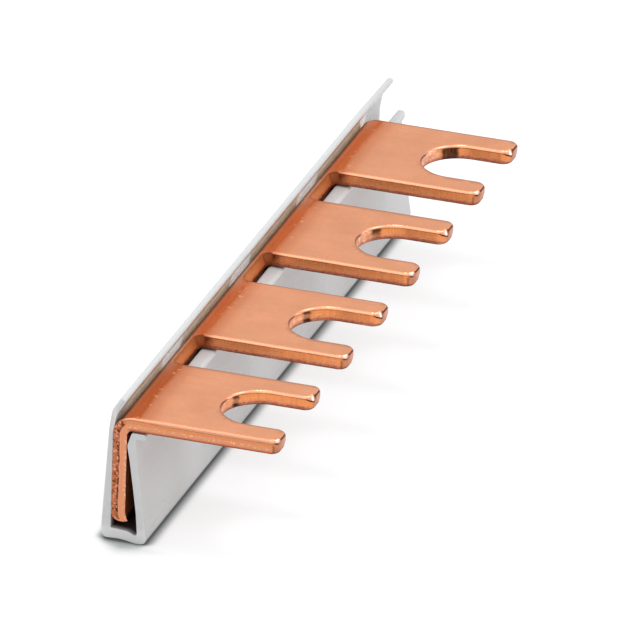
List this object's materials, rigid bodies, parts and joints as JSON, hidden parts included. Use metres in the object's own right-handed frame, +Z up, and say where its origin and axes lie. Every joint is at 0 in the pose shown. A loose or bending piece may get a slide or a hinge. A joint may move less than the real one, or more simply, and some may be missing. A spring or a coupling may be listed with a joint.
{
  "type": "terminal block jumper bar",
  "caption": "Fork-type jumper bar: a stamped copper comb bent to an L section, clipped in an open light grey plastic profile, for linking a row of screw terminals.",
  "frame": {"origin": "centre of the bottom of the bounding box, under the plastic profile's floor", "axes": "+X from the back of the profile towards the fork tips, +Y along the bar, +Z up from the profile's floor to the forks' flat faces"},
  "size_m": [0.015, 0.0706, 0.0129],
  "materials": {
    "copper": "bare rolled copper, punched edges",
    "grey_plastic": "smooth extruded light grey, slightly glossy"
  },
  "bodies": {
    "root": {"copper_comb": "copper", "insulating_profile": "grey_plastic"}
  },
  "joints": []
}
